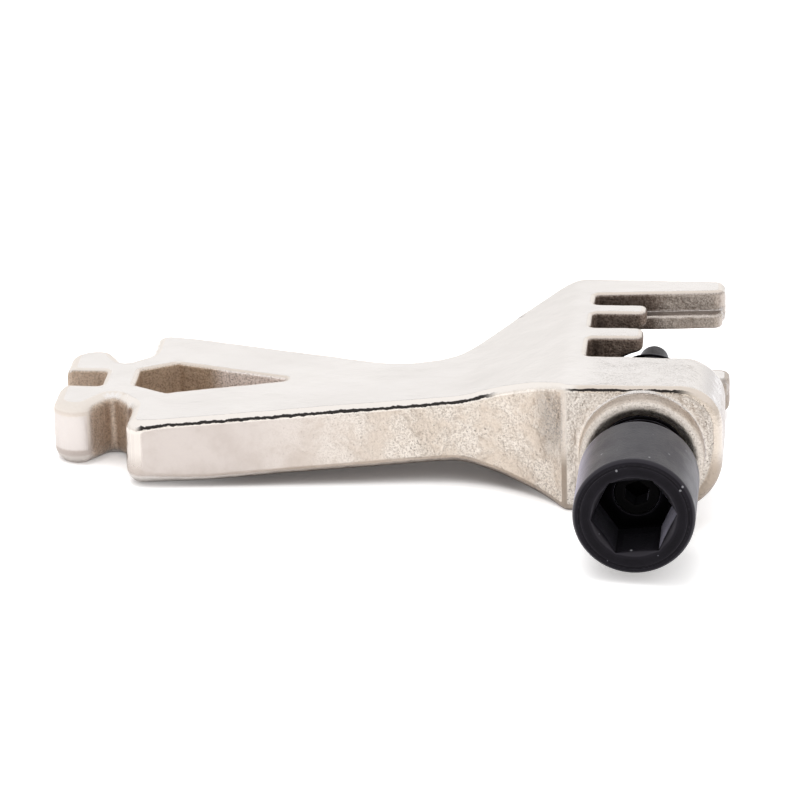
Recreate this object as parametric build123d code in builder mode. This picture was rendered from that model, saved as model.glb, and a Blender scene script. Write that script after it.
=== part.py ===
from build123d import *
import math
import os

# Bicycle chain tool: a cast body, a press screw, a driving pin and the small
# screw that retains the pin.
# Frame: origin on the screw axis at the lug's front face, +Y along the screw
# towards the anvil, +X from the handle towards the open side of the head,
# +Z up.  Lengths in millimetres.  "Near" is low Y, "far" is high Y.

# ---------------------------------------------------------------- body: side view
half_handle = 3.8             # half thicknesses
half_head = 7.5
x_ramp_start = -20.6          # ramp from handle to head
x_ramp_end = -8.8
ramp_start_radius = 12.0
ramp_end_radius = 2.5

# ---------------------------------------------------------------- body: tail, from above
y_handle = 10.4               # centreline of the tail
x_tail = -65.9
jaw_width = 4.6
x_jaw_floor = -61.1
y_jaw_near = y_handle - jaw_width / 2
y_jaw_far = y_handle + jaw_width / 2

hex_hole_af = 8.0             # box wrench opening, across flats
hex_half_side = hex_hole_af / 2 / math.sqrt(3)
x_hex = -53.35
y_hex = y_handle + 0.3
x_window_apex = -40.6
window_half = 4.45            # half width of the window at the hexagon's centre
window_apex_half = 0.42

x_arm_end = -57.0
near_arm_corner = (x_arm_end, y_handle - 14.3)
near_arm_inner = (x_arm_end, y_handle - 7.7)
near_notch = (-59.5, y_handle - 4.9)
near_lobe_end = (-61.7, y_handle - 8.3)
near_lobe_mid = (-63.5, y_handle - 8.9)
near_lobe_tip = (x_tail, y_handle - 6.6)
far_lobe_tip = (x_tail, y_handle + 6.6)
far_lobe_mid = (-63.3, y_handle + 8.9)
far_lobe_end = (-61.3, y_handle + 8.3)
far_notch = (-59.6, y_handle + 5.1)
far_arm_inner = (x_arm_end, y_handle + 7.7)
far_arm_corner = (x_arm_end, y_handle + 14.5)

# ---------------------------------------------------------------- body: head, from above
near_neck = (-15.2, 6.8)      # meeting point of the near arm line and the lug flare
lug_left = (-8.7, 0.0)
far_neck = (-25.2, 15.1)      # meeting point of the far arm line and the head flank
far_shoulder = (-10.1, 34.9)
x_slot_floor = -6.7
x_tooth_tip = -0.7
x_lug_end = 8.8
x_anvil_end = 8.0
y_lug = 9.7                   # lug thickness along the screw
y_near_tooth = (15.4, 18.7)   # near and far flank of each tooth
y_far_tooth = (23.3, 26.1)
y_anvil_root = 29.3
y_anvil_tip = 30.6
y_far_tip = 34.4
lug_corner_radius = 5.4       # lug corners seen along the screw

# rounding of the cast edges
rim_radius = 0.7
window_rim_radius = 0.6
step_rim_radius = 0.5

# anvil fork
anvil_slot_half = 3.5
anvil_step_z = 5.2
anvil_step_depth = 1.6
anvil_step_end_radius = 1.0

# chain seat bore, boss and screw bore
seat_radius = 5.8
boss_radius = 6.95
boss_height = 2.9
boss_rim_radius = 0.7
boss_root_width = 0.42
boss_root_radius = 0.38
mouth_radius = 6.1
mouth_straight = 0.25         # depths below the boss face
mouth_depth = 1.3
screw_bore_radius = 5.03
bore_exit_chamfer = 0.5

# ---------------------------------------------------------------- press screw
thread_major = 4.95           # M10 x 1
thread_minor = 4.38
thread_pitch = 1.0
ridge_root_half = 0.42        # half widths of the thread ridge
ridge_crest_half = 0.08
ridge_sink = 0.15             # how far the ridge is sunk in the core
barrel_radius = 6.6
barrel_chamfer = 0.4
y_barrel_front = -18.75
y_barrel_rear = -7.3
y_thread_end = 18.6
y_thread_start = y_barrel_rear + 0.5
thread_length = y_thread_end - 1.0 - y_thread_start
shank_tip_radius = 0.5
socket_af = 8.0
socket_depth = 6.75
socket_turn = 5.0             # degrees about the screw axis
socket_lead_in = 0.4
inner_bore_radius = 2.52
pin_hole_radius = 1.78

# ---------------------------------------------------------------- retaining screw
grub_radius = 2.5             # M5
grub_length = 4.6
grub_chamfer = 0.35
grub_socket_af = 2.5
grub_socket_depth = 2.6
grub_socket_turn = 8          # degrees about the screw axis

# ---------------------------------------------------------------- driving pin
pin_radius = 1.7
pin_head_radius = 2.44
pin_head_length = 2.4
pin_head_chamfer = 0.25
pin_tip_radius = 0.4
y_pin_tip = 29.0

# stack inside the press screw
end_gap = 0.04
y_socket_floor = y_barrel_front + socket_depth
y_pin_head = y_socket_floor + grub_length + end_gap
y_pin_head_end = y_pin_head + pin_head_length
y_shoulder = y_pin_head_end + end_gap


# ---------------------------------------------------------------- selection helpers
def vertices_at(sketch, points):
    """Vertices of an open sketch that lie at the given points."""
    return [v for v in sketch.vertices()
            for x, y in points
            if abs(v.X - x) < 0.02 and abs(v.Y - y) < 0.02]


def mid(edge):
    return edge.position_at(0.5)


def heights(edge):
    return [edge.position_at(t).Z for t in (0, 0.5, 1)]


def low(edge):
    return min(heights(edge))


def high(edge):
    return max(heights(edge))


def sharp_edges(part):
    """Edges whose two faces meet at a clear angle, matched by middle and length."""
    shared = {}
    for face in part.faces():
        for edge in face.edges():
            m = mid(edge)
            key = (round(m.X, 3), round(m.Y, 3), round(m.Z, 3), round(edge.length, 2))
            shared.setdefault(key, []).append((edge, face))
    sharp = []
    for pairs in shared.values():
        if len(pairs) != 2:
            continue
        (edge, face), (_, other_face) = pairs
        if face.normal_at(mid(edge)).dot(other_face.normal_at(mid(edge))) < 0.95:
            sharp.append(edge)
    return sharp


# ---------------------------------------------------------------- pieces
def make_body():
    """The upper half is shaped and rounded, then mirrored; boss and bore follow."""
    tooth_points = [point for near, far in (y_far_tooth, y_near_tooth)
                    for point in ((x_slot_floor, far), (x_tooth_tip, far),
                                  (x_tooth_tip, near), (x_slot_floor, near))]
    tail_jaw = [(x_tail, y_jaw_near), (x_tail, y_jaw_far)]
    jaw_floor = [(x_jaw_floor, y_jaw_near), (x_jaw_floor, y_jaw_far)]
    window_apex = [(x_window_apex, y_hex - window_apex_half),
                   (x_window_apex, y_hex + window_apex_half)]
    anvil_end = [(x_anvil_end, y_far_tip), (x_anvil_end, y_anvil_tip)]
    slot_floor_ends = [(x_slot_floor, y_lug), (x_slot_floor, y_anvil_root)]
    hexagon_corners = [(x_hex - hex_hole_af / 2, y_hex - hex_half_side),
                       (x_hex - hex_hole_af / 2, y_hex + hex_half_side),
                       (x_hex, y_hex - 2 * hex_half_side),
                       (x_hex, y_hex + 2 * hex_half_side)]

    # rounded corners of the plan: radius, points
    plan_fillets = [
        (1.6, [near_arm_corner, far_arm_corner]),
        (2.0, [near_arm_inner, far_arm_inner]),
        (0.6, [near_notch, far_notch]),
        (1.0, [near_lobe_end, far_lobe_end]),
        (1.5, [near_lobe_tip, far_lobe_tip]),
        (0.4, hexagon_corners),
        (0.9, tail_jaw),
        (0.6, jaw_floor),
        (0.4, window_apex),
        (1.3, anvil_end),
        (0.9, [p for p in tooth_points if p[0] == x_tooth_tip]),
        (0.6, slot_floor_ends + [p for p in tooth_points if p[0] == x_slot_floor]),
        (0.8, [lug_left]),
        (14.0, [near_neck]),
        (9.0, [far_neck]),
        (5.0, [far_shoulder]),
    ]

    with BuildPart() as body:
        with BuildSketch(Plane.XY) as plan:
            with BuildLine():
                Polyline(near_neck, near_arm_corner, near_arm_inner, near_notch, near_lobe_end)
                ThreePointArc(near_lobe_end, near_lobe_mid, near_lobe_tip)
                Polyline(near_lobe_tip, tail_jaw[0], *jaw_floor, tail_jaw[1], far_lobe_tip)
                ThreePointArc(far_lobe_tip, far_lobe_mid, far_lobe_end)
                Polyline(far_lobe_end, far_notch, far_arm_inner, far_arm_corner,
                         far_neck, far_shoulder,
                         *anvil_end,
                         (x_slot_floor, y_anvil_root),
                         *tooth_points,
                         (x_slot_floor, y_lug),
                         (x_lug_end, y_lug),
                         (x_lug_end, 0),
                         lug_left,
                         near_neck)
            make_face()
            # hexagonal box opening and the window that opens from it
            with Locations((x_hex, y_hex)):
                RegularPolygon(hex_hole_af / 2, 6, major_radius=False, rotation=30,
                               mode=Mode.SUBTRACT)
            with BuildLine():
                Polyline((x_hex, y_hex - window_half), *window_apex,
                         (x_hex, y_hex + window_half), close=True)
            make_face(mode=Mode.SUBTRACT)
            for radius, points in plan_fillets:
                fillet(vertices_at(plan, points), radius)
        extrude(amount=half_head)

        # side profile: thin handle, ramp, thick head
        with BuildSketch(Plane.XZ.offset(-60)) as side:
            with BuildLine():
                Polyline((-80, half_handle), (x_ramp_start, half_handle),
                         (x_ramp_end, half_head), (20, half_head),
                         (20, -1), (-80, -1), close=True)
            make_face()
            for x, radius in ((x_ramp_start, ramp_start_radius), (x_ramp_end, ramp_end_radius)):
                fillet(side.vertices().filter_by_position(Axis.X, x - 0.1, x + 0.1), radius)
        extrude(amount=90, mode=Mode.INTERSECT)

        # the lug's free corners are round seen along the screw
        with BuildSketch(Plane.XZ.offset(-y_lug - 1.0)):
            with Locations((x_lug_end - lug_corner_radius + 10, 0)):
                Rectangle(20, 40)
            with Locations((x_lug_end - 10, 0)):
                RectangleRounded(20, 2 * half_head, lug_corner_radius, mode=Mode.SUBTRACT)
        extrude(amount=y_lug + 2.0, mode=Mode.SUBTRACT)

        # anvil: a step that backs the chain plate, then the slot that clears the pin
        x_step = (x_slot_floor - 0.5, x_anvil_end - 0.2)
        step_end = (x_step[1], y_anvil_tip - anvil_step_depth)
        with BuildSketch(Plane.XY) as step:
            with BuildLine():
                Polyline((x_step[0], y_anvil_root - anvil_step_depth),
                         step_end,
                         (x_step[1], y_anvil_tip + 2.0),
                         (x_step[0], y_anvil_root + 2.0), close=True)
            make_face()
            fillet(vertices_at(step, [step_end]), anvil_step_end_radius)
        extrude(amount=anvil_step_z)
        with BuildSketch(Plane.YZ.offset(x_slot_floor)):
            with Locations((35, 0)):
                Rectangle(2 * (35 - y_far_tooth[1] - 0.2), 2 * anvil_slot_half)
        extrude(amount=30, mode=Mode.SUBTRACT)

        # chain seat bore through both teeth
        with BuildSketch(Plane.XZ.offset(-y_far_tooth[1] - 0.5)):
            Circle(seat_radius)
        extrude(amount=y_far_tooth[1] - y_lug - 0.4, mode=Mode.SUBTRACT)

        # softened cast edges: rims of the top face, of the lug's round corner, of
        # the window and of the anvil step
        sharp = sharp_edges(body)
        window_rim = [e for e in sharp
                      if low(e) > half_handle - 0.1
                      and -58.2 < mid(e).X < -39.8
                      and abs(mid(e).Y - y_hex) < 4.8]
        lug_side = [e for e in sharp
                    if abs(mid(e).X - x_lug_end) < 0.01
                    and mid(e).Y < y_lug + 0.1
                    and high(e) > 1.0
                    and high(e) - low(e) > 0.5]
        outer_rim = [e for e in sharp
                     if (low(e) > 1.4 or e in lug_side)
                     and e not in window_rim
                     and (high(e) > half_head - 0.05
                          or mid(e).X < x_ramp_end + 0.2
                          or (mid(e).X > 2.0 and mid(e).Y < y_lug + 0.1))]
        fillet(outer_rim, rim_radius)
        fillet(window_rim, window_rim_radius)
        fillet([e for e in body.edges()
                if e.geom_type == GeomType.LINE and e.length > 8
                and abs(mid(e).Z - anvil_step_z) < 0.01
                and y_far_tooth[1] + 1 < mid(e).Y < y_anvil_tip - 1.0], step_rim_radius)

        # lower half
        mirror(about=Plane.XY)

        # boss round the screw bore, with a rolled rim and a filleted root
        root_outer = boss_radius + boss_root_width
        with BuildSketch(Plane.XY) as boss:
            with BuildLine():
                Polyline((0, 1.0), (root_outer, 1.0), (root_outer, 0), (boss_radius, 0),
                         (boss_radius, -boss_height), (0, -boss_height), close=True)
            make_face()
            fillet(vertices_at(boss, [(boss_radius, -boss_height)]), boss_rim_radius)
            fillet(vertices_at(boss, [(boss_radius, 0)]), boss_root_radius)
        revolve(axis=Axis.Y)

        # screw bore with a wide conical mouth and a chamfered exit
        exit_radius = screw_bore_radius + bore_exit_chamfer
        with BuildSketch(Plane.XY):
            with BuildLine():
                Polyline((0, -boss_height - 1), (mouth_radius, -boss_height - 1),
                         (mouth_radius, -boss_height + mouth_straight),
                         (screw_bore_radius, -boss_height + mouth_depth),
                         (screw_bore_radius, y_lug + 0.1 - bore_exit_chamfer),
                         (exit_radius, y_lug + 0.1), (exit_radius, y_lug + 0.5),
                         (0, y_lug + 0.5), close=True)
            make_face()
        revolve(axis=Axis.Y, mode=Mode.SUBTRACT)
    return body.part


def make_press_screw():
    with BuildPart() as press_screw:
        # barrel head and the plain core of the threaded shank
        barrel_end_radius = barrel_radius - barrel_chamfer
        with BuildSketch(Plane.XY) as profile:
            with BuildLine():
                Polyline((0, y_barrel_front), (barrel_end_radius, y_barrel_front),
                         (barrel_radius, y_barrel_front + barrel_chamfer),
                         (barrel_radius, y_barrel_rear - barrel_chamfer),
                         (barrel_end_radius, y_barrel_rear),
                         (thread_minor, y_barrel_rear), (thread_minor, y_thread_end),
                         (0, y_thread_end), close=True)
            make_face()
            fillet(vertices_at(profile, [(thread_minor, y_thread_end)]), shank_tip_radius)
        revolve(axis=Axis.Y)

        # right-hand thread: a flat-crested ridge swept along a helix
        with BuildLine() as helix:
            Helix(pitch=thread_pitch, height=thread_length, radius=thread_minor,
                  center=(0, y_thread_start, 0), direction=(0, 1, 0))
        start = helix.line @ 0
        radial = Vector(start.X, 0, start.Z).normalized()
        with BuildSketch(Plane(origin=(0, start.Y, 0), x_dir=radial,
                               z_dir=radial.cross(Vector(0, 1, 0)))):
            with BuildLine():
                Polyline((thread_minor - ridge_sink, -ridge_root_half),
                         (thread_major, -ridge_crest_half),
                         (thread_major, ridge_crest_half),
                         (thread_minor - ridge_sink, ridge_root_half), close=True)
            make_face()
        sweep(path=helix.line, is_frenet=True)

        # hexagonal socket with a lead-in cone
        with BuildSketch(Plane.XZ.offset(-y_barrel_front)):
            RegularPolygon(socket_af / 2, 6, major_radius=False, rotation=socket_turn)
        extrude(amount=-socket_depth, mode=Mode.SUBTRACT)
        lead_radius = socket_af / math.sqrt(3)
        with BuildSketch(Plane.XY):
            with BuildLine():
                Polyline((0, y_barrel_front - 0.1), (lead_radius, y_barrel_front - 0.1),
                         (lead_radius - 0.1 - socket_lead_in, y_barrel_front + socket_lead_in),
                         (0, y_barrel_front + socket_lead_in), close=True)
            make_face()
        revolve(axis=Axis.Y, mode=Mode.SUBTRACT)

        # counterbore for the retaining screw and pin head, then the pin hole
        with BuildSketch(Plane.XY):
            with BuildLine():
                Polyline((0, y_socket_floor - 0.01), (inner_bore_radius, y_socket_floor - 0.01),
                         (inner_bore_radius, y_shoulder), (pin_hole_radius, y_shoulder),
                         (pin_hole_radius, y_thread_end + 1), (0, y_thread_end + 1), close=True)
            make_face()
        revolve(axis=Axis.Y, mode=Mode.SUBTRACT)
    return press_screw.part


def make_retaining_screw():
    with BuildPart() as screw:
        with BuildSketch(Plane.XZ.offset(-y_socket_floor)):
            Circle(grub_radius)
        extrude(amount=-grub_length)
        chamfer(screw.edges(), grub_chamfer)
        with BuildSketch(Plane.XZ.offset(-y_socket_floor)):
            RegularPolygon(grub_socket_af / 2, 6, major_radius=False, rotation=grub_socket_turn)
        extrude(amount=-grub_socket_depth, mode=Mode.SUBTRACT)
    return screw.part


def make_driving_pin():
    head_rims = [(pin_head_radius, y_pin_head), (pin_head_radius, y_pin_head_end)]
    tip_rim = (pin_radius, y_pin_tip)
    with BuildPart() as pin:
        with BuildSketch(Plane.XY) as profile:
            with BuildLine():
                Polyline((0, y_pin_head), *head_rims, (pin_radius, y_pin_head_end),
                         tip_rim, (0, y_pin_tip), close=True)
            make_face()
            chamfer(vertices_at(profile, head_rims), pin_head_chamfer)
            fillet(vertices_at(profile, [tip_rim]), pin_tip_radius)
        revolve(axis=Axis.Y)
    return pin.part


# ---------------------------------------------------------------- export
makers = {
    "body": make_body,
    "press_screw": make_press_screw,
    "pin_retaining_screw": make_retaining_screw,
    "driving_pin": make_driving_pin,
}

os.makedirs("parts", exist_ok=True)
for name, make_piece in makers.items():
    piece = make_piece()
    piece.label = name
    export_step(piece, f"parts/{name}.step")
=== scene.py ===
"""Looks of the chain tool: rounded cast body, turned screw parts, white studio.

Frame: the thin handle runs to -X and the thick head ends at +X. The screw lies on the Y axis
with its barrel at the front (-Y). Z is the thickness, with the body centred on z = 0.
Shapes are signed distance fields in mm, negative inside; meshes and the stage are in metres.
"""

import math

import bpy
import numpy as np
from mathutils import Matrix, Vector


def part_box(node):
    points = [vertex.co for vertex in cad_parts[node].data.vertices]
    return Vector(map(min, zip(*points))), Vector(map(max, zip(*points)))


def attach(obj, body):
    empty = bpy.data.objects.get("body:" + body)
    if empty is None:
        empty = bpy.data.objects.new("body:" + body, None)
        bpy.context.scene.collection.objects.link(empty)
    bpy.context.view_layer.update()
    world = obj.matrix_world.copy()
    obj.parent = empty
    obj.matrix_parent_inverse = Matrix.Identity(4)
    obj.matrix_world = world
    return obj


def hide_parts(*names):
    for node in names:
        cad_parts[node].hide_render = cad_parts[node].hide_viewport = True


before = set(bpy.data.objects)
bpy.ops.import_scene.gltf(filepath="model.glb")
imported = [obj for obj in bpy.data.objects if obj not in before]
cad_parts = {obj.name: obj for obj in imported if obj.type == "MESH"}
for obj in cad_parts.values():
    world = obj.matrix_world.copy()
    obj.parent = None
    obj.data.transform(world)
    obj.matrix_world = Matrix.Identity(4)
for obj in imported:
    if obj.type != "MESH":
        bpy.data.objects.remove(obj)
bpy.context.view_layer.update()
MM = 0.001

# Plan outline of the body: (x, y) in mm.
OUTER = [
    (-58.976, 4.913), (-57.508, 3.269), (-57.33, 3.038), (-57.188, 2.784), (-57.084, 2.512),
    (-57.021, 2.228), (-57, 1.937), (-57, -1.839), (-56.978, -2.103), (-56.913, -2.359),
    (-56.807, -2.601), (-56.662, -2.823), (-56.482, -3.017), (-56.273, -3.18), (-56.04, -3.305),
    (-55.79, -3.391), (-55.529, -3.434), (-55.264, -3.433), (-55.003, -3.389), (-23.133, 4.769),
    (-22.89, 4.829), (-22.645, 4.885), (-22.399, 4.936), (-22.152, 4.983), (-21.904, 5.026),
    (-21.656, 5.064), (-21.407, 5.097), (-21.158, 5.126), (-20.908, 5.151), (-20.657, 5.171),
    (-20.407, 5.187), (-20.156, 5.198), (-19.905, 5.204), (-19.653, 5.207), (-19.402, 5.204),
    (-19.151, 5.197), (-18.9, 5.186), (-18.65, 5.17), (-18.399, 5.149), (-18.149, 5.125),
    (-17.9, 5.095), (-17.651, 5.061), (-17.403, 5.023), (-17.155, 4.98), (-16.909, 4.933),
    (-16.663, 4.882), (-16.418, 4.826), (-16.174, 4.765), (-15.931, 4.7), (-15.69, 4.631),
    (-15.45, 4.558), (-15.211, 4.48), (-14.973, 4.398), (-14.737, 4.312), (-14.503, 4.222),
    (-14.27, 4.127), (-14.04, 4.028), (-13.81, 3.925), (-13.583, 3.818), (-13.358, 3.707),
    (-13.135, 3.592), (-12.914, 3.473), (-12.695, 3.35), (-12.478, 3.223), (-12.263, 3.092),
    (-12.051, 2.957), (-11.842, 2.819), (-11.635, 2.677), (-11.43, 2.531), (-11.228, 2.381),
    (-11.029, 2.228), (-10.833, 2.072), (-10.639, 1.912), (-10.449, 1.748), (-10.261, 1.581),
    (-10.076, 1.411), (-9.895, 1.237), (-9.717, 1.06), (-9.541, 0.88), (-8.936, 0.247),
    (-8.814, 0.142), (-8.672, 0.064), (-8.519, 0.016), (-8.358, -0), (8.8, 0), (8.8, 9.7),
    (-6.1, 9.7), (-6.33, 9.746), (-6.524, 9.876), (-6.654, 10.07), (-6.7, 10.3), (-6.7, 14.8),
    (-6.654, 15.03), (-6.524, 15.224), (-6.33, 15.354), (-6.1, 15.4), (-1.6, 15.4),
    (-1.322, 15.444), (-1.071, 15.572), (-0.872, 15.771), (-0.744, 16.022), (-0.7, 16.3),
    (-0.7, 17.8), (-0.744, 18.078), (-0.872, 18.329), (-1.071, 18.528), (-1.322, 18.656),
    (-1.6, 18.7), (-6.1, 18.7), (-6.33, 18.746), (-6.524, 18.876), (-6.654, 19.07),
    (-6.7, 19.3), (-6.7, 22.7), (-6.654, 22.93), (-6.524, 23.124), (-6.33, 23.254),
    (-6.1, 23.3), (-1.6, 23.3), (-1.322, 23.344), (-1.071, 23.472), (-0.872, 23.671),
    (-0.744, 23.922), (-0.7, 24.2), (-0.7, 25.2), (-0.744, 25.478), (-0.872, 25.729),
    (-1.071, 25.928), (-1.322, 26.056), (-1.6, 26.1), (-6.1, 26.1), (-6.33, 26.146),
    (-6.524, 26.276), (-6.654, 26.47), (-6.7, 26.7), (-6.7, 28.751), (-6.659, 28.968),
    (-6.543, 29.156), (-6.366, 29.289), (-6.153, 29.348), (6.815, 30.495), (7.084, 30.548),
    (7.337, 30.657), (7.561, 30.816), (7.746, 31.019), (7.885, 31.256), (7.971, 31.517),
    (8, 31.79), (8, 33.135), (7.976, 33.385), (7.904, 33.625), (7.788, 33.846), (7.632, 34.042),
    (7.441, 34.204), (7.222, 34.326), (6.984, 34.404), (6.736, 34.435), (-7.539, 34.829),
    (-7.802, 34.83), (-8.065, 34.816), (-8.327, 34.789), (-8.586, 34.748), (-8.844, 34.693),
    (-9.098, 34.625), (-9.348, 34.544), (-9.593, 34.45), (-9.834, 34.342), (-10.068, 34.223),
    (-10.295, 34.091), (-10.516, 33.948), (-10.728, 33.793), (-10.932, 33.627),
    (-11.127, 33.45), (-11.313, 33.264), (-11.488, 33.068), (-11.653, 32.863),
    (-21.393, 20.092), (-21.55, 19.892), (-21.713, 19.696), (-21.882, 19.504),
    (-22.056, 19.318), (-22.235, 19.137), (-22.419, 18.96), (-22.608, 18.789),
    (-22.802, 18.624), (-23.001, 18.464), (-23.204, 18.309), (-23.411, 18.161),
    (-23.622, 18.018), (-23.838, 17.882), (-24.057, 17.751), (-24.279, 17.627),
    (-24.506, 17.509), (-24.735, 17.398), (-24.967, 17.293), (-25.203, 17.195),
    (-25.441, 17.104), (-25.681, 17.019), (-25.924, 16.941), (-26.169, 16.87),
    (-26.416, 16.806), (-26.664, 16.749), (-26.914, 16.7), (-27.166, 16.657),
    (-27.418, 16.621), (-27.671, 16.593), (-27.926, 16.571), (-28.18, 16.557),
    (-28.435, 16.551), (-28.69, 16.551), (-28.945, 16.559), (-29.199, 16.573),
    (-29.453, 16.595), (-29.707, 16.625), (-29.959, 16.661), (-30.21, 16.704),
    (-30.46, 16.755), (-30.708, 16.813), (-30.955, 16.877), (-31.2, 16.949),
    (-54.929, 24.262), (-55.194, 24.319), (-55.466, 24.331), (-55.735, 24.297),
    (-55.995, 24.218), (-56.238, 24.096), (-56.456, 23.935), (-56.644, 23.739),
    (-56.796, 23.514), (-56.908, 23.266), (-56.977, 23.003), (-57, 22.733), (-57, 18.928),
    (-57.017, 18.667), (-57.068, 18.411), (-57.152, 18.163), (-57.268, 17.928),
    (-57.413, 17.711), (-57.586, 17.514), (-59.026, 16.074), (-59.263, 15.928),
    (-59.539, 15.904), (-59.797, 16.008), (-59.981, 16.216), (-61.189, 18.49),
    (-61.257, 18.601), (-61.34, 18.703), (-61.435, 18.792), (-61.541, 18.868),
    (-61.76, 18.993), (-61.99, 19.098), (-62.228, 19.183), (-62.473, 19.246),
    (-62.722, 19.288), (-62.974, 19.307), (-63.227, 19.305), (-63.479, 19.28),
    (-63.727, 19.234), (-63.97, 19.166), (-64.207, 19.077), (-64.435, 18.967),
    (-64.652, 18.838), (-64.857, 18.691), (-65.049, 18.526), (-65.225, 18.345),
    (-65.385, 18.15), (-65.527, 17.941), (-65.651, 17.72), (-65.754, 17.49), (-65.837, 17.251),
    (-65.864, 17.145), (-65.884, 17.038), (-65.896, 16.93), (-65.9, 16.821), (-65.9, 13.6),
    (-65.856, 13.322), (-65.728, 13.071), (-65.529, 12.872), (-65.278, 12.744), (-65, 12.7),
    (-61.7, 12.7), (-61.47, 12.654), (-61.276, 12.524), (-61.146, 12.33), (-61.1, 12.1),
    (-61.1, 8.7), (-61.146, 8.47), (-61.276, 8.276), (-61.47, 8.146), (-61.7, 8.1), (-65, 8.1),
    (-65.278, 8.056), (-65.529, 7.928), (-65.728, 7.729), (-65.856, 7.478), (-65.9, 7.2),
    (-65.9, 3.892), (-65.899, 3.833), (-65.895, 3.775), (-65.89, 3.717), (-65.882, 3.659),
    (-65.828, 3.404), (-65.749, 3.156), (-65.646, 2.918), (-65.518, 2.691), (-65.369, 2.478),
    (-65.198, 2.282), (-65.009, 2.104), (-64.802, 1.946), (-64.581, 1.81), (-64.346, 1.697),
    (-64.102, 1.608), (-63.85, 1.544), (-63.592, 1.507), (-63.332, 1.496), (-63.073, 1.511),
    (-62.816, 1.553), (-62.565, 1.62), (-62.322, 1.712), (-62.089, 1.829), (-61.87, 1.969),
    (-61.795, 2.027), (-61.726, 2.092), (-61.664, 2.164), (-61.609, 2.241), (-59.927, 4.84),
    (-59.73, 5.029), (-59.47, 5.112), (-59.2, 5.07),
]
# Plan outline of the box-wrench window through the handle: (x, y) in mm.
WINDOW = [
    (-40.6, 10.827), (-40.6, 10.573), (-40.62, 10.449), (-40.677, 10.337), (-40.767, 10.248),
    (-40.879, 10.192), (-52.704, 6.454), (-53.15, 6.197), (-53.246, 6.157), (-53.35, 6.143),
    (-53.454, 6.157), (-53.55, 6.197), (-57.15, 8.275), (-57.233, 8.339), (-57.296, 8.422),
    (-57.336, 8.518), (-57.35, 8.622), (-57.35, 12.778), (-57.336, 12.882), (-57.296, 12.978),
    (-57.233, 13.061), (-57.15, 13.125), (-53.55, 15.203), (-53.454, 15.243), (-53.35, 15.257),
    (-53.246, 15.243), (-53.15, 15.203), (-52.704, 14.946), (-40.879, 11.208),
    (-40.767, 11.152), (-40.677, 11.063), (-40.62, 10.951),
]

# Body sizes, in mm.
HANDLE_HALF, HEAD_HALF = 3.8, 7.5           # half thicknesses
RAMP_START, RAMP_END = -20.6, -8.8          # x of the slope between them
RAMP_ROOT_R, RAMP_TOP_R = 12.0, 4.0
RAMP_ANGLE = math.atan2(HEAD_HALF - HANDLE_HALF, RAMP_END - RAMP_START)
MID_Y = 10.4                                # middle of the jaw at the handle's end
LUG_X, LUG_Y = 8.8, 9.7                     # right end and back face of the lug
SLOT_X, SLOT_Y, SLOT_HALF = -6.7, 26.3, 3.5
SEAT_R, SEAT_Y = 5.8, (10.6, 26.6)
BOSS_R, BOSS_Y = 6.9, (-2.9, 2.0)
BORE_R, BORE_BACK = 5.03, 10.4
LEDGE_X, LEDGE_Y = 7.8, 29.0                # right end of the ledge, and its front there
LEDGE_RISE, LEDGE_RUN = 1.3, 14.7

# Screw sizes, in mm.
BARREL_R, BARREL_Y = 6.6, (-18.75, -7.3)
SHANK_R, SHANK_END, THREAD_DEPTH = 4.36, 18.6, 0.59
SHANK_TIP_R = 3.9

# ------------------------------------------------------------------ distance tools


def poly_distance(px, py, outline):
    """Signed distance to a closed polygon."""
    points = np.array(outline, float)
    best = np.full(px.shape, 1e9)
    inside = np.zeros(px.shape, bool)
    for (ax, ay), (bx, by) in zip(points, np.roll(points, -1, 0)):
        ex, ey = bx - ax, by - ay
        wx, wy = px - ax, py - ay
        t = np.clip((wx * ex + wy * ey) / (ex * ex + ey * ey), 0, 1)
        best = np.minimum(best, (wx - t * ex) ** 2 + (wy - t * ey) ** 2)
        crosses = (ay > py) != (by > py)
        if ey != 0:
            inside ^= crosses & (px < ax + ex * (py - ay) / ey)
    distance = np.sqrt(best)
    return np.where(inside, -distance, distance)


def in_hull(x, y):
    """True for outline points outside the recesses of the head and the jaw."""
    head = x > -7.4 and 9.0 < y < 32.0 and not (x > 8.2 and y < 9.8)
    jaw = -65.55 < x < -60.5 and abs(y - MID_Y) < 3.35
    return not head and not jaw


# Plan distances are computed once on a raster, then interpolated.
RASTER_X, RASTER_Y, RASTER_STEP = (-70.0, 13.0), (-8.0, 40.0), 0.125
raster_grid = np.meshgrid(np.arange(*RASTER_X, RASTER_STEP), np.arange(*RASTER_Y, RASTER_STEP),
                          indexing="ij")
plan_raster = np.maximum(poly_distance(*raster_grid, OUTER), -poly_distance(*raster_grid, WINDOW))
hull_raster = poly_distance(*raster_grid, [(x, y) for x, y in OUTER if in_hull(x, y)])


def sample(raster, x, y):
    """Bilinear lookup in a plan raster."""
    fx = np.clip((x - RASTER_X[0]) / RASTER_STEP, 0, raster.shape[0] - 1.001)
    fy = np.clip((y - RASTER_Y[0]) / RASTER_STEP, 0, raster.shape[1] - 1.001)
    ix, iy = fx.astype(np.int32), fy.astype(np.int32)
    u, v = fx - ix, fy - iy
    return (raster[ix, iy] * (1 - u) * (1 - v) + raster[ix + 1, iy] * u * (1 - v)
            + raster[ix, iy + 1] * (1 - u) * v + raster[ix + 1, iy + 1] * u * v)


def common(*fields):
    """Sharp intersection."""
    return np.maximum.reduce(fields)


def rounded(a, b, radius):
    """Intersection with its edge rounded."""
    qa, qb = a + radius, b + radius
    outside = np.hypot(np.maximum(qa, 0), np.maximum(qb, 0))
    return outside + np.minimum(np.maximum(qa, qb), 0) - radius


def union(a, b, blend):
    h = np.maximum(blend - np.abs(a - b), 0) / blend
    return np.minimum(a, b) - h * h * blend / 4


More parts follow.
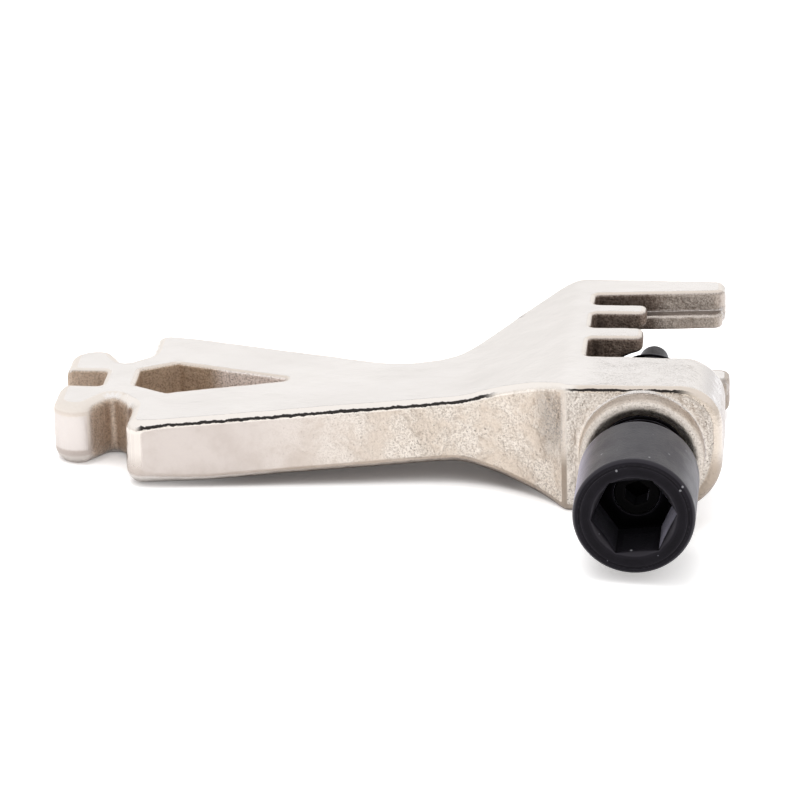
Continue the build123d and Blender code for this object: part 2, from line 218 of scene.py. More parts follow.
def cut(a, b, blend):
    """a with b taken away, the rim softened over blend."""
    return -union(-a, b, blend)


def smooth(start, end, value):
    """Smooth step from 0 at start to 1 at end; start may be the larger."""
    t = np.clip((value - start) / (end - start), 0, 1)
    return t * t * (3 - 2 * t)


def cylinder(radius, y, size, ends, rounds):
    """Rod along Y between the two ends, each with its own edge rounding."""
    return common(rounded(radius - size, ends[0] - y, rounds[0]),
                  rounded(radius - size, y - ends[1], rounds[1]))


def hexagon(x, z, across, turn):
    """Hexagonal prism along Y, by its width across flats."""
    sides = [turn + math.radians(60 * i + 30) for i in range(6)]
    return common(*(x * math.cos(a) + z * math.sin(a) - across / 2 for a in sides))


# ------------------------------------------------------------------ body


def half_height(x):
    """Half thickness along X: thin handle, ramp with rounded root and top, thick head."""
    ramp = HANDLE_HALF + (x - RAMP_START) * math.tan(RAMP_ANGLE)
    height = np.where(x < RAMP_START, HANDLE_HALF, np.where(x > RAMP_END, HEAD_HALF, ramp))
    tangent = RAMP_ROOT_R * math.tan(RAMP_ANGLE / 2)
    x0, x1 = RAMP_START - tangent, RAMP_START + tangent * math.cos(RAMP_ANGLE)
    arc = HANDLE_HALF + RAMP_ROOT_R - np.sqrt(np.maximum(RAMP_ROOT_R ** 2 - (x - x0) ** 2, 0))
    height = np.where((x > x0) & (x < x1), arc, height)
    tangent = RAMP_TOP_R * math.tan(RAMP_ANGLE / 2)
    x0, x1 = RAMP_END - tangent * math.cos(RAMP_ANGLE), RAMP_END + tangent
    arc = HEAD_HALF - RAMP_TOP_R + np.sqrt(np.maximum(RAMP_TOP_R ** 2 - (x1 - x) ** 2, 0))
    return np.where((x > x0) & (x < x1), arc, height)


def casting(x, y, z):
    """The plan outline at its thickness, rounded more on the hull and underneath."""
    plan, hull = sample(plan_raster, x, y), sample(hull_raster, x, y)
    slope = smooth(-22.4, -19.0, x) * (1 - smooth(-9.4, -8.2, x))
    top = (np.abs(z) - half_height(x)) * (1 - slope * (1 - math.cos(RAMP_ANGLE)))
    lug_front = smooth(-14.0, -9.0, x) * smooth(12.0, 9.0, y) * smooth(5.0, 2.0, x)
    upper_round = 0.80 + 0.42 * smooth(-52.0, -57.0, x) - 0.2 * lug_front
    lower_round = 1.0 + 1.0 * smooth(-48.0, -57.0, x) + 0.2 * smooth(-60.5, -63.0, x)
    hull_round = upper_round + (lower_round - upper_round) * smooth(1.2, -1.2, z)
    window = (x > -58.6) & (x < -39.0) & (np.abs(y - MID_Y) < 5.2)
    plan_round = np.where(window, 0.45, 0.5)
    return common(rounded(plan, top, plan_round), rounded(hull, top, hull_round))


def lug(x, y, z):
    """Lug at the right end, its corners round seen along the screw."""
    corner = np.where(z > 0, 4.8, 6.4)
    side = rounded(x - LUG_X, np.abs(z) - HEAD_HALF, corner)
    front_round = 0.5 + 0.45 * smooth(2.5, 7.0, x) + 0.5 * smooth(1.0, -3.0, z)
    return common(rounded(side, -y, front_round), rounded(side, y - LUG_Y, 0.6))


def ledge(x, y, z):
    """Sloping step on the anvil's inner face."""
    run = math.hypot(LEDGE_RISE, LEDGE_RUN)
    front = ((LEDGE_Y - y) * LEDGE_RUN - (LEDGE_X - x) * LEDGE_RISE) / run
    block = rounded(rounded(front, x - LEDGE_X, 1.0), np.abs(z) - 5.2, 0.4)
    return common(block, y - 33.0, -6.9 - x)


def body_field(x, y, z):
    # the lower prong of the anvil runs on a little further
    x = x - 0.5 * smooth(0.0, 6.0, x) * smooth(20.0, 24.0, y) * smooth(1.0, -2.0, z)
    shape = casting(x, y, z)
    shape = np.where((x > -2) & (y < 14), common(shape, lug(x, y, z)), shape)
    shape = union(shape, ledge(x, y, z), blend=0.3)
    # fork slot through the anvil, and the chain seat bore
    slot = common(np.abs(z) - SLOT_HALF, SLOT_Y - y, SLOT_X - x)
    shape = cut(shape, slot, blend=0.5)
    radius = np.hypot(x, z)
    seat = common(radius - SEAT_R, SEAT_Y[0] - y, y - SEAT_Y[1])
    shape = cut(shape, seat, blend=0.45)
    # boss with a rolled rim, then the screw bore, flared at both ends
    boss = common(rounded(radius - BOSS_R, BOSS_Y[0] - y, 0.75), y - BOSS_Y[1])
    shape = union(shape, boss, blend=0.3)
    flare = np.where(y < -2.0, 0.80 * smooth(-1.8, -2.8, y), 0.5 * smooth(9.2, 9.8, y))
    bore = common((radius - (BORE_R + flare)) * 0.9, y - BORE_BACK)
    return cut(shape, bore, blend=0.35)


# ------------------------------------------------------------------ turned parts


def screw_field(x, y, z):
    radius = np.hypot(x, z)
    barrel = cylinder(radius, y, BARREL_R, BARREL_Y, rounds=(0.55, 0.5))
    # right-hand thread, 1 mm pitch
    phase = y - np.arctan2(x, z) / (2 * math.pi)
    ridge = np.abs(phase - np.round(phase))
    crest = smooth(0.40, 0.10, ridge) * smooth(-6.9, -6.3, y) * smooth(17.9, 17.2, y)
    # fields steepened by thread and cone are scaled back towards true distance
    thread = (radius - SHANK_R - THREAD_DEPTH * crest) * 0.75
    cone = (radius + y - SHANK_END - SHANK_TIP_R) * 0.7
    shape = union(barrel, common(thread, -9 - y, y - SHANK_END, cone), blend=0.2)
    # socket with a lead-in
    socket = common(hexagon(x, z, across=8.0, turn=math.radians(5.0)), y + 12.0)
    shape = cut(shape, socket, blend=0.25)
    lead = (radius - 4.62 + (y - BARREL_Y[0])) * 0.707
    shape = cut(shape, common(lead, y + 18.1), blend=0.2)
    # faint turned step round the face
    shape = cut(shape, common(np.abs(radius - 5.85) - 0.1, y + 18.67), blend=0.12)
    # counterbore and pin hole
    shape = cut(shape, common(radius - 2.52, y + 4.92), blend=0.1)
    return cut(shape, radius - 1.78, blend=0.1)


def grub_field(x, y, z):
    rod = cylinder(np.hypot(x, z), y, 2.5, ends=(-12.0, -7.4), rounds=(0.3, 0.3))
    socket = common(hexagon(x, z, across=2.5, turn=math.radians(22)), y + 9.4)
    return cut(rod, socket, blend=0.12)


def pin_field(x, y, z):
    radius = np.hypot(x, z)
    head = cylinder(radius, y, 2.44, ends=(-7.36, -4.96), rounds=(0.3, 0.2))
    shaft = common(rounded(radius - 1.7, y - 29.0, 1.2), -6.0 - y)
    return union(head, shaft, blend=0.15)


# ------------------------------------------------------------------ meshing
SLAB = 48        # grid layers evaluated at once, to limit memory
CUBE = [(a, b, c) for a in (0, 1) for b in (0, 1) for c in (0, 1)]


def at(field, points):
    return field(*points.T)


def gradient(field, points, reach=0.03):
    slopes = [(at(field, points + d) - at(field, points - d)) / (2 * reach)
              for d in np.eye(3) * reach]
    return np.stack(slopes, 1)


def grid_values(field, axes):
    values = np.empty([len(a) for a in axes], np.float32)
    for i in range(0, len(axes[0]), SLAB):
        slab = [axes[0][i:i + SLAB], axes[1], axes[2]]
        values[i:i + SLAB] = field(*np.meshgrid(*(a.astype(float) for a in slab), indexing="ij"))
    return values + np.float32(1e-5)


def cell_points(values, cells):
    """One point per cell: the mean of the zero crossings on its edges, in grid steps."""
    i, j, k = cells
    total, hits = np.zeros((len(i), 3)), np.zeros(len(i))
    edges = [(p, q) for p in CUBE for q in CUBE
             if q > p and sum(abs(p[n] - q[n]) for n in range(3)) == 1]
    for p, q in edges:
        at_p = values[i + p[0], j + p[1], k + p[2]]
        at_q = values[i + q[0], j + q[1], k + q[2]]
        crossing = (at_p < 0) != (at_q < 0)
        t = np.where(crossing, at_p / np.where(crossing, at_p - at_q, 1), 0)
        for n in range(3):
            total[:, n] += np.where(crossing, p[n] + t * (q[n] - p[n]), 0)
        hits += crossing
    return total / hits[:, None] + np.stack(cells, 1)


def cell_quads(inside, index):
    """One quad round every grid edge that crosses the surface."""
    quads = []
    for axis in range(3):
        b, c = (axis + 1) % 3, (axis + 2) % 3
        near, far = [slice(None)] * 3, [slice(None)] * 3
        near[axis], far[axis] = slice(0, -1), slice(1, None)
        start = inside[tuple(near)]
        edges = np.stack(np.nonzero(start != inside[tuple(far)]), 1)
        keep = (edges[:, b] > 0) & (edges[:, c] > 0)
        keep &= (edges[:, b] < index.shape[b]) & (edges[:, c] < index.shape[c])
        edges = edges[keep]
        around = []
        for step_b, step_c in ((1, 1), (0, 1), (0, 0), (1, 0)):
            cell = edges.copy()
            cell[:, b] -= step_b
            cell[:, c] -= step_c
            around.append(index[tuple(cell.T)])
        quad = np.stack(around, 1)
        outward = start[tuple(edges.T)]
        quad[~outward] = quad[~outward][:, ::-1]
        quads.append(quad)
    return np.concatenate(quads)


def net(field, lo, hi, step):
    """Closed quad mesh of the zero level on a grid, its points pulled onto the level."""
    axes = [np.arange(lo[i] - 2 * step, hi[i] + 3 * step, step, dtype=np.float32)
            for i in range(3)]
    values = grid_values(field, axes)
    inside = values < 0
    shape = [s - 1 for s in values.shape]
    count = np.zeros(shape, np.int8)
    for a, b, c in CUBE:
        count += inside[a:a + shape[0], b:b + shape[1], c:c + shape[2]]
    active = (count > 0) & (count < 8)
    cells = np.nonzero(active)
    index = np.full(shape, -1, np.int32)
    index[active] = np.arange(len(cells[0]))
    points = cell_points(values, cells) * step + np.array([a[0] for a in axes])
    for _ in range(2):
        slope = gradient(field, points)
        move = at(field, points) / np.maximum((slope * slope).sum(1), 0.25)
        points = points - slope * np.clip(move, -0.45 * step, 0.45 * step)[:, None]
    slope = gradient(field, points)
    normals = slope / np.maximum(np.linalg.norm(slope, axis=1), 1e-6)[:, None]
    return points, normals, cell_quads(inside, index)


def waves(points, seed, length, count=22):
    """Smooth seeded ripple over space, about unit height."""
    rng = np.random.default_rng(seed)
    total = np.zeros(len(points))
    for _ in range(count):
        k = rng.normal(size=3)
        k *= 2 * math.pi / (length * rng.uniform(0.7, 1.5)) / np.linalg.norm(k)
        total += np.sin(points @ k + rng.uniform(0, 2 * math.pi))
    return total / math.sqrt(count / 2)


def masks(field, points, normals, reach=0.22):
    """Edge curvature, and how enclosed each point is, from the field itself."""
    curve = -6 * at(field, points)
    for d in np.eye(3) * reach:
        curve += at(field, points + d) + at(field, points - d)
    curve /= reach * reach
    shut = np.zeros(len(points))
    for probe in (1.2, 3.0, 6.0):
        shut += 1 - np.clip(at(field, points + normals * probe) / probe, 0, 1)
    return {"edge": np.clip(curve, -2, 2), "shut": shut / 3}


def body_masks(points, normals):
    """Where recesses get painted brown shade, where the inner walls are tan, where the cast grain
    is coarse, which edges are polished.
    """
    x, y, z = points.T
    facing_x, facing_y, facing_z = normals.T
    level = np.abs(facing_z)
    wall = smooth(0.75, 0.45, level)
    radius = np.hypot(x, z)
    from_mid = np.abs(y - MID_Y)
    # painted brown shade in the recesses: between lug and anvil, in the bores, lightly on the
    # ledge
    slots = smooth(9.6, 10.0, y) * smooth(-7.6, -7.1, x)
    slots *= 1 - smooth(0.2, 0.6, facing_y) * smooth(31.5, 33.0, y)
    slots *= 1 - 0.55 * smooth(0.5, 0.8, facing_x) * smooth(7.0, 7.6, x)
    slots *= 1 - 0.35 * smooth(-1.0, 2.0, x) * smooth(26.5, 27.5, y)
    bore = smooth(6.3, 5.9, radius) * smooth(-2.0, -1.4, y) * smooth(28.2, 27.2, y)
    on_ledge = smooth(0.6, 0.9, level) * smooth(26.4, 26.8, y) * smooth(31.5, 31.0, y)
    on_ledge *= smooth(5.7, 5.4, np.abs(z))
    shaded_recess = common(slots * wall, bore, 0.55 * on_ledge)
    # tan tone: walls of the window, the jaw and the notches beside it
    window = smooth(-58.6, -58.1, x) * smooth(-39.2, -39.7, x) * smooth(5.3, 4.9, from_mid)
    jaw = smooth(-60.0, -60.5, x) * smooth(3.4, 2.9, from_mid) * 0.8
    notch = smooth(-61.9, -61.2, x) * smooth(-57.2, -57.8, x) * smooth(4.5, 5.1, from_mid) * 0.72
    wall_tan = common(window, jaw, notch) * wall
    # cast grain: side walls towards the head, front faces, boss, a trace on top of the lug
    side = smooth(-47.0, -22.0, x) * smooth(0.62, 0.30, level)
    face = smooth(-0.55, -0.85, facing_y) * smooth(-9.2, -8.4, x)
    boss = smooth(-0.05, -0.25, y) * smooth(8.2, 7.4, radius) * smooth(-9, -8, x)
    lug_top = smooth(0.8, 0.95, facing_z) * smooth(-7.0, -4.5, x) * smooth(10.5, 9.5, y)
    cast = common(side, face, boss * 0.85, 0.36 * lug_top)
    corner = np.exp(-((x + 8.7) / 0.7) ** 2) * smooth(0.6, 0.3, level)
    rims = common(smooth(-8.0, -6.6, x) * (1 - smooth(8.0, 9.3, x)), window)
    return {
        "shaded_recess": shaded_recess,
        "wall_tan": wall_tan,
        "cast": cast,
        "polish": smooth(-59.5, -56.5, x) * (1 - 0.8 * boss) * (1 - 0.9 * corner),
        "lit": smooth(-2.4, 0.6, z) * (1 - 0.6 * boss),
        "boss": boss,
        "rims": rims * smooth(0.1, -0.25, facing_y),
        # crest: where the boss gets its painted highlight
        "crest": boss * smooth(-2.15, -2.6, y) * smooth(5.75, 6.0, radius),
        "flank": boss * smooth(-2.3, -1.7, y) * smooth(-0.25, -0.6, y),
        "face": face,
    }


def add_object(name, mesh):
    obj = bpy.data.objects.new(name, mesh)
    bpy.context.scene.collection.objects.link(obj)
    return obj


def solid(name, field, node, step, ripple=(), extra=None):
    """Mesh a field within its CAD node's box, with its mask attributes."""
    lo, hi = [np.array(v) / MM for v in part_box(node)]
    points, normals, quads = net(field, lo - 0.3, hi + 0.3, step)
    values = masks(field, points, normals)
    if extra:
        values.update(extra(points, normals))
    for seed, length, height in ripple:
        points = points + normals * (waves(points, seed, length) * height)[:, None]
    mesh = bpy.data.meshes.new(name)
    mesh.vertices.add(len(points))
    mesh.vertices.foreach_set("co", (points * MM).astype(np.float32).ravel())
    mesh.loops.add(len(quads) * 4)
    mesh.loops.foreach_set("vertex_index", quads.astype(np.int32).ravel())
    mesh.polygons.add(len(quads))
    mesh.polygons.foreach_set("loop_start", np.arange(0, len(quads) * 4, 4, dtype=np.int32))
    mesh.polygons.foreach_set("use_smooth", np.ones(len(quads), bool))
    mesh.update(calc_edges=True)
    mesh.validate()
    for key, value in values.items():
        layer = mesh.attributes.new(key, "FLOAT", "POINT")
        layer.data.foreach_set("value", value.astype(np.float32))
    return add_object(name, mesh)


# Surface ripple of the casting: (seed, wave length, height), lengths in mm.
CAST_RIPPLE = [(3, 7.0, 0.014), (5, 2.4, 0.006), (8, 1.0, 0.003)]
body = solid("cast_body", body_field, "body", step=0.17,
             ripple=CAST_RIPPLE, extra=body_masks)
screw = solid("screw_barrel", screw_field, "press_screw", step=0.12)
grub = solid("grub_screw", grub_field, "pin_retaining_screw", step=0.12)
pin = solid("push_pin", pin_field, "driving_pin", step=0.12)

# ------------------------------------------------------------------ shader tools


class Value:
    """A node output; arithmetic on it adds math nodes."""

    def __init__(self, shader, socket):
        self.shader, self.socket = shader, socket

    def __mul__(self, other):
        return self.shader.math("MULTIPLY", self, other)

    def __sub__(self, other):
        return self.shader.math("SUBTRACT", self, other)

    def __rsub__(self, other):
        return self.shader.math("SUBTRACT", other, self)

    def __abs__(self):
        return self.shader.math("ABSOLUTE", self)

    def max(self, other):
        return self.shader.math("MAXIMUM", self, other)

    def mul_add(self, factor, offset):
        return self.shader.math("MULTIPLY_ADD", self, factor, offset)

    def ramp(self, start, end, low=0.0, high=1.0):
        """Smooth step from low at start to high at end; start may be the larger."""
        inputs = dict(enumerate((self, start, end, low, high)))
        node = self.shader.node("ShaderNodeMapRange", inputs, interpolation_type="SMOOTHSTEP")
        return self.shader.output(node, 0)


class Shader:
    def __init__(self, tree):
        self.tree = tree
        self.texco = None

    def put(self, node, inputs):
        for key, value in inputs.items():
            if isinstance(value, Value):
                self.tree.links.new(value.socket, node.inputs[key])
            else:
                node.inputs[key].default_value = value

    def node(self, kind, inputs=None, **settings):
        node = self.tree.nodes.new(kind)
        for key, value in settings.items():
            setattr(node, key, value)
        self.put(node, inputs or {})
        return node

    def output(self, node, key):
        return Value(self, node.outputs[key])

    def surface(self, inputs):
        self.put(self.tree.nodes["Principled BSDF"], inputs)

    def math(self, operation, a, b=0.0, c=None, clamp=False):
        inputs = {0: a, 1: b} if c is None else {0: a, 1: b, 2: c}
        node = self.node("ShaderNodeMath", inputs, operation=operation, use_clamp=clamp)
        return self.output(node, 0)

    def mix(self, factor, a, b):
        """Colour a, going over to b with factor."""
        a, b = [v if isinstance(v, Value) else (*v, 1.0) for v in (a, b)]
        node = self.node("ShaderNodeMix", data_type="RGBA")
        self.put(node, {0: factor, 6: a, 7: b})
        return self.output(node, 2)

    def paint(self, colour, mask, tint, strength):
        return self.mix(mask * strength, colour, tint)

    def noise(self, scale, detail=3.0, rough=0.55):
        inputs = {"Scale": scale, "Detail": detail, "Roughness": rough,
                  "Vector": self.coords("Object")}
        return self.output(self.node("ShaderNodeTexNoise", inputs), "Fac")

    def coords(self, which):
        self.texco = self.texco or self.node("ShaderNodeTexCoord")
        return self.output(self.texco, which)

    def attribute(self, name):
        return self.output(self.node("ShaderNodeAttribute", attribute_name=name), "Fac")

    def split(self, vector):
        node = self.node("ShaderNodeSeparateXYZ", {0: vector})
        return [self.output(node, i) for i in range(3)]

    def bump(self, height, distance, strength=1.0, **normal):
        inputs = {"Height": height, "Distance": distance, "Strength": strength, **normal}
        return self.output(self.node("ShaderNodeBump", inputs), 0)


def new_material(name):
    material = bpy.data.materials.new(name)
    material.use_nodes = True
    return material, Shader(material.node_tree)


# ------------------------------------------------------------------ materials
# Nickel colours; a pair is blended by a noise, a mask or a place.
TOP = (0.835, 0.800, 0.775), (0.805, 0.770, 0.745)
SATIN = (0.548, 0.484, 0.447), (0.608, 0.546, 0.511)
SATIN_JAW = (0.735, 0.680, 0.655)
CAST = (0.740, 0.645, 0.555), (0.970, 0.895, 0.815)
# painted light on the front faces
CAST_FACE_LIGHT = (0.985, 0.935, 0.880)
LUG_END = (0.690, 0.665, 0.675)
BOSS_FLANK = (0.42, 0.345, 0.285)
RIM = (0.850, 0.790, 0.730), (0.640, 0.545, 0.455)
# painted highlight on the boss's crest
BOSS_CREST_HIGHLIGHT = (0.965, 0.915, 0.860)
# painted shade on the lower edges
LOW_EDGE_SHADE = (0.36, 0.285, 0.225)
SPECK = (0.235, 0.175, 0.130)
STAIN = (0.27, 0.20, 0.145)
PIT = (0.075, 0.05, 0.038)
PATCH = (0.10, 0.085, 0.085)
# painted shade of the recesses: brown, and near black where most enclosed
BROWN = (0.105, 0.068, 0.048), (0.27, 0.205, 0.168)
DEEP_RECESS_SHADE = (0.035, 0.024, 0.018)
TAN = (0.57, 0.430, 0.310), (0.96, 0.865, 0.810)
TAN_SPECK = (0.16, 0.115, 0.085)
# painted dark reflection along the front top edge
DARK_REFLECTION = (0.014, 0.012, 0.012)


def neck_patch(place, facing, side):
    """Mask of a darker, coarser patch where the neck runs into the head."""
    x, _, z = place
    return (x.ramp(-0.0124, -0.0102) * x.ramp(-0.0086, -0.0091) * side
            * z.ramp(0.0068, 0.0052) * z.ramp(-0.0025, 0.0020) * facing[1].ramp(0.0, -0.3))


def dark_reflection_line(place, facing, edge, lumps, shown):
    """Mask of a ragged near-black line along the front top edge: a painted dark reflection."""
    x, y, _ = place
    tip = (lumps - 0.5).mul_add(0.55, facing[2])
    line = tip.ramp(0.16, 0.22) * tip.ramp(0.60, 0.54) * facing[1].ramp(-0.50, -0.68)
    line = line * edge.ramp(0.15, 0.45) * shown
    neck = x.ramp(-0.0180, -0.0160) * x.ramp(-0.0078, -0.0088)
    line = line * ((1.0 - neck) * x.ramp(0.0060, 0.0035))
    return line * (y.ramp(0.0095, 0.0085) * x.ramp(-0.0558, -0.0550))


def nickel():
    material, m = new_material("nickel_plate_cast")
    place, facing = m.split(m.coords("Object")), m.split(m.coords("Normal"))
    x = place[0]
    shaded_recess, wall_tan, cast, edge, shut, polish, lit, boss, rims, crest, flank = [
        m.attribute(name) for name in ("shaded_recess", "wall_tan", "cast", "edge", "shut", "polish", "lit",
                                       "boss", "rims", "crest", "flank")]
    side = abs(facing[2]).ramp(0.42, 0.22).max(boss * 0.8)
    dull = shaded_recess.max(wall_tan)
    convex = edge.ramp(0.25, 0.75) * (1.0 - dull) * boss.mul_add(-0.6, 1.0)
    blotch = m.noise(scale=230.0, detail=4.0, rough=0.65)
    cloud = m.noise(scale=75.0, detail=2.0, rough=0.5)
    grain = m.noise(scale=4400.0, detail=3.0, rough=0.7)
    lumps = m.noise(scale=1300.0, detail=4.0, rough=0.65)
    pits = m.noise(scale=3300.0, detail=2.0, rough=0.7)
    # how coarse the surface is
    amount = (cast * blotch.ramp(0.36, 0.60, low=0.35)).max(boss * 0.9)
    amount = (amount * convex.mul_add(-0.75, 1.0)).max(dull * 0.9)
    patch = neck_patch(place, facing, side)

    # plating by zone
    top = m.mix(cloud.ramp(0.35, 0.65), *TOP)
    satin = m.mix(blotch.ramp(0.35, 0.65), *SATIN)
    rough_cast = m.mix(blotch.ramp(0.38, 0.62), *CAST)
    # front faces painted lighter: painted light standing in for a brighter reflection
    rough_cast = m.paint(rough_cast, m.attribute("face"), CAST_FACE_LIGHT, strength=0.45)
    satin = m.mix(x.ramp(-0.0575, -0.0610, high=0.85), satin, SATIN_JAW)
    colour = m.mix(side, top, m.mix(cast, satin, rough_cast))
    lug_end = facing[0].ramp(0.35, 0.75) * x.ramp(0.0055, 0.0070)
    colour = m.paint(colour, lug_end, LUG_END, strength=0.75)
    # edges, and the boss
    soft = edge.ramp(0.06, 0.40) * rims * (1.0 - dull)
    rim = (convex * lit).max(soft) * 0.75
    colour = m.paint(colour, flank, BOSS_FLANK, strength=0.55)
    colour = m.mix(rim, colour, m.mix(rims, *RIM))
    # painted highlight along the boss's front crest
    colour = m.paint(colour, crest, BOSS_CREST_HIGHLIGHT, strength=0.75)
    # lower convex edges painted brown: painted shade, weaker towards the arm tips
    low = convex * (1.0 - lit) * x.ramp(-0.052, -0.036, low=0.22, high=0.68)
    colour = m.mix(low, colour, LOW_EDGE_SHADE)
    # grain, stains and pits
    colour = m.paint(colour, grain.ramp(0.56, 0.40) * amount, SPECK, strength=0.46)
    stain = lumps.ramp(0.47, 0.36) * (amount * blotch.ramp(0.62, 0.40))
    colour = m.paint(colour, stain, STAIN, strength=0.5)
    colour = m.mix(pits.ramp(0.37, 0.30) * amount.mul_add(0.75, 0.015), colour, PIT)
    colour = m.mix(patch * grain.ramp(0.42, 0.58, low=0.02, high=0.62), colour, PATCH)
    # painted brown shade in the recesses, near black where most enclosed; then the tan walls
    brown = m.mix(grain.ramp(0.35, 0.65), *BROWN)
    colour = m.paint(colour, shaded_recess, brown, strength=0.93)
    colour = m.paint(colour, shut.ramp(0.35, 0.8) * shaded_recess, DEEP_RECESS_SHADE, strength=0.55)
    tan = m.mix(x.ramp(-0.0500, -0.0475), *TAN)
    tan = m.paint(tan, grain.ramp(0.55, 0.38), TAN_SPECK, strength=0.5)
    colour = m.paint(colour, wall_tan, tan, strength=0.92)
    # painted dark reflection: ragged near-black line along the front top edge
    line = dark_reflection_line(place, facing, edge, lumps, shown=polish * lit)
    colour = m.paint(colour, line, DARK_REFLECTION, strength=0.97)

    # roughness: higher on sides, grain, the shaded recesses and the tan walls, lower on polished
    # edges
    rough = amount.mul_add(0.14, side.mul_add(0.13, 0.20))
    shine = convex * polish * lit.mul_add(0.80, 0.05)
    rough = (shine * rough).mul_add(-1.0, rough)
    rough = dull.mul_add(0.15, rough)
    rough = (convex * (1.0 - polish)).mul_add(0.50, rough)
    rough = (convex * rims).mul_add(0.05, rough)
    rough = m.math("ADD", rough, grain.ramp(0.3, 0.7, low=-0.03, high=0.04), clamp=True)

    # relief: fine grain and lumps, then broad unevenness
    height = grain * amount.mul_add(1.1, 0.05)
    height = (lumps * 1.8).mul_add(amount.mul_add(0.8, 0.04), height)
    height = (lumps * 0.7).mul_add(convex * polish, height)
    fine = m.bump(height, distance=0.00010)
    m.surface({
        "Base Color": colour,
        "Metallic": 1.0,
        "Roughness": rough,
        "Normal": m.bump(blotch, distance=0.00040, strength=0.5, Normal=fine),
    })
    return material


# Dust on the black parts: (texture scale, share of cells left clean, colour).
DUST = [(560.0, 0.62, (0.42, 0.42, 0.44)), (1100.0, 0.80, (0.20, 0.20, 0.23))]
# painted shade in the recesses of the black parts
BLACK_RECESS_SHADE = (0.0008, 0.0007, 0.0006)


def dusted(m, colour):
    for scale, clean, tone in DUST:
        cells = m.node("ShaderNodeTexVoronoi", {"Scale": scale, "Vector": m.coords("Object")})
        dot = m.output(cells, "Distance").ramp(0.105, 0.045)
        pick = m.split(m.output(cells, "Color"))[0].ramp(clean, clean + 0.03)
        colour = m.paint(colour, dot * pick, tone, strength=0.55)
    return colour


def black(name, base, ior, rough, dust=False):
    """Blackened steel; rough is the range the roughness varies over."""
    material, m = new_material(name)

    def facing(axis):
        return m.split(m.coords("Normal"))[axis]

    grain = m.noise(scale=4200.0, detail=3.0, rough=0.6)
    cloud = m.noise(scale=380.0, detail=3.0, rough=0.6)
    # lighter in clouds and on rubbed edges, painted near-black shade in the recesses
    rub = m.attribute("edge").ramp(0.5, 1.4)
    colour = m.mix(cloud.ramp(0.35, 0.68), base, tuple(c * 1.8 for c in base))
    colour = m.paint(colour, rub, tuple(c * 4 for c in base), strength=0.35)
    colour = m.paint(colour, m.attribute("shut").ramp(0.30, 0.65), BLACK_RECESS_SHADE, strength=0.8)
    if dust:
        colour = dusted(m, colour)
    # reflection set by place: turned down in recesses and on front faces as painted shade, turned
    # up on the left with a sheen as painted highlight
    deep = m.attribute("shut").ramp(0.15, 0.42)
    front = facing(1).ramp(-0.80, -0.96)
    level = deep.mul_add(-0.47, 0.5) * front.mul_add(-0.70, 1.0)
    level = level * facing(0).ramp(-0.45, -0.90, low=1.0, high=2.0)
    left = facing(0).ramp(-0.62, -0.95, low=0.10, high=0.65)
    m.surface({
        "Base Color": colour,
        "Metallic": 0.0,
        "IOR": ior,
        "Specular IOR Level": level,
        "Specular Tint": (0.94, 0.88, 1.0, 1.0),
        "Sheen Weight": facing(1).ramp(-0.55, -0.15) * left,
        "Sheen Roughness": 0.35,
        "Sheen Tint": (0.86, 0.82, 1.0, 1.0),
        "Roughness": cloud.ramp(0.3, 0.7, low=rough[0], high=rough[1]),
        "Normal": m.bump(grain, distance=0.00003, strength=0.8),
    })
    return material


nickel_mat = nickel()
barrel_mat = black("black_oxide_satin", base=(0.0036, 0.0032, 0.0042), ior=1.43,
                   rough=(0.32, 0.44), dust=True)
inner_mat = black("black_oxide_deep", base=(0.0028, 0.0027, 0.0027), ior=1.18, rough=(0.40, 0.52))
pin_mat = black("blackened_pin", base=(0.0050, 0.0050, 0.0056), ior=1.35, rough=(0.30, 0.42))

# (object, CAD node it replaces, group it rides on, material, slot)
PARTS = [
    (body, "body", "frame", nickel_mat, "nickel_plate"),
    (screw, "press_screw", "screw", barrel_mat, "black_oxide"),
    (grub, "pin_retaining_screw", "screw", inner_mat, "black_oxide"),
    (pin, "driving_pin", "pin_carriage", pin_mat, "black_pin"),
]
for obj, node, rides, material, slot in PARTS:
    obj.data.materials.append(material)
    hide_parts(node)
    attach(obj, rides)
    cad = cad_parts[node]
    cad.data.materials.clear()
    cad.data.materials.append(material)

# ------------------------------------------------------------------ stage
# The tool rests on the underside of its head and on the tips of its two arms.
ARM_TIP_X, HEAD_REST_X = -56.0, -3.0
FLOOR_TILT = math.atan2(HEAD_HALF - HANDLE_HALF, HEAD_REST_X - ARM_TIP_X)
FLOOR_TOUCH = Vector((-4.0, 10.0, -7.52)) * MM
FLOOR_HALF, FLOOR_STEPS = 3.0, 9
PAPER = (0.90, 0.90, 0.90), (0.915, 0.912, 0.91)
# painted contact shadow on the paper
PAPER_CONTACT_SHADOW = (0.235, 0.185, 0.165)


def paper():
    """White paper, glowing a little to the camera, with a painted brown contact shadow close to
    the tool.
    """
    material, m = new_material("paper_white")
    # painted contact shadow: none under the head and screw, weaker at the arm tips; the glow
    # fades inside it
    close = m.node("ShaderNodeAmbientOcclusion", {"Distance": 0.006}, samples=16)
    x = m.split(m.output(m.node("ShaderNodeNewGeometry"), "Position"))[0]
    near = m.output(close, "AO").ramp(0.66, 0.22) * x.ramp(-0.006, -0.016, high=0.78)
    near = near * x.ramp(-0.058, -0.042, low=0.30)
    camera_ray = m.output(m.node("ShaderNodeLightPath"), "Is Camera Ray")
    m.surface({
        "Base Color": m.mix(near, m.mix(m.noise(scale=3.0), *PAPER), PAPER_CONTACT_SHADOW),
        "Roughness": 0.9,
        "Specular IOR Level": 0.1,
        "Emission Color": (1.0, 0.975, 0.962, 1.0),
        "Emission Strength": camera_ray * 0.33 * (1.0 - near),
    })
    return material


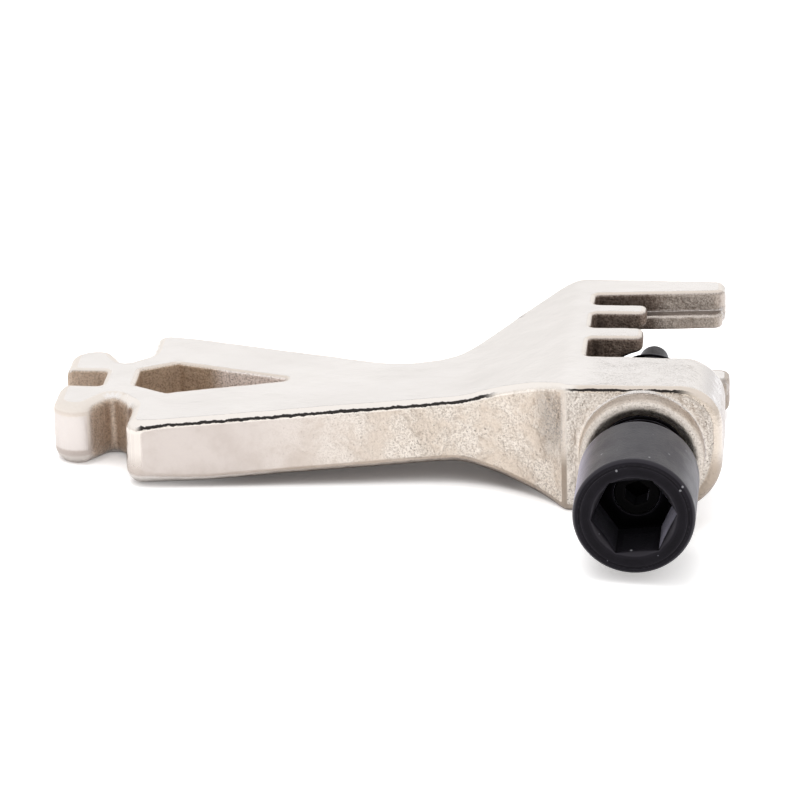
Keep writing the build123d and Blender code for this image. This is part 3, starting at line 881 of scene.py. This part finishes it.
def studio_floor():
    ticks = np.linspace(-FLOOR_HALF, FLOOR_HALF, FLOOR_STEPS)
    verts = [(x, y, 0) for x in ticks for y in ticks]
    starts = [i * FLOOR_STEPS + j for i in range(FLOOR_STEPS - 1) for j in range(FLOOR_STEPS - 1)]
    faces = [(s, s + FLOOR_STEPS, s + FLOOR_STEPS + 1, s + 1) for s in starts]
    mesh = bpy.data.meshes.new("studio_floor")
    mesh.from_pydata(verts, [], faces)
    floor = add_object("studio_floor", mesh)
    normal = Vector((math.sin(FLOOR_TILT), 0, math.cos(FLOOR_TILT)))
    floor.rotation_mode = "QUATERNION"
    floor.rotation_quaternion = normal.to_track_quat("Z", "Y")
    floor.location = FLOOR_TOUCH
    floor.data.materials.append(paper())


def studio_world():
    """Even white surround, slightly warm and dimmer at the horizon."""
    world = bpy.data.worlds.new("studio")
    bpy.context.scene.world = world
    world.use_nodes = True
    world.node_tree.nodes.clear()
    w = Shader(world.node_tree)
    up = w.split(w.coords("Generated"))[2]
    background = w.node("ShaderNodeBackground", {
        "Strength": up.ramp(0.0, 0.5, low=0.90, high=1.12),
        "Color": w.mix(up.ramp(0.0, 0.7), (1.0, 0.985, 0.965), (0.985, 0.99, 1.0)),
    })
    w.node("ShaderNodeOutputWorld", {"Surface": w.output(background, 0)})


def overhead_light():
    place, aim = Vector((-0.08, 0.05, 0.55)), Vector((-0.02, 0.01, 0))
    light = bpy.data.lights.new("overhead", "AREA")
    light.shape = "RECTANGLE"
    light.size, light.size_y = 0.45, 0.35
    light.energy = 1.6
    light.color = (1, 1, 1)
    obj = add_object("overhead", light)
    obj.location = place
    obj.rotation_mode = "QUATERNION"
    obj.rotation_quaternion = (aim - place).to_track_quat("-Z", "Y")
    obj.visible_glossy = False


def main_camera():
    place = Vector((26.6, -522.0, 212.4)) * MM
    right = Vector((0.9954, 0.0930, -0.0216))
    upward = Vector((-0.0141, 0.3669, 0.9301))
    forward = Vector((-0.0944, 0.9256, -0.3666))
    data = bpy.data.cameras.new("main_view")
    data.lens, data.sensor_width = 230.6, 36.0
    data.clip_start, data.clip_end = 0.02, 20.0
    camera = add_object("main_view", data)
    turn = Matrix((right, upward, -forward)).transposed().to_4x4()
    camera.matrix_world = Matrix.Translation(place) @ turn
    bpy.context.scene.camera = camera


studio_floor()
studio_world()
overhead_light()
main_camera()
bpy.context.scene.view_settings.view_transform = "Standard"
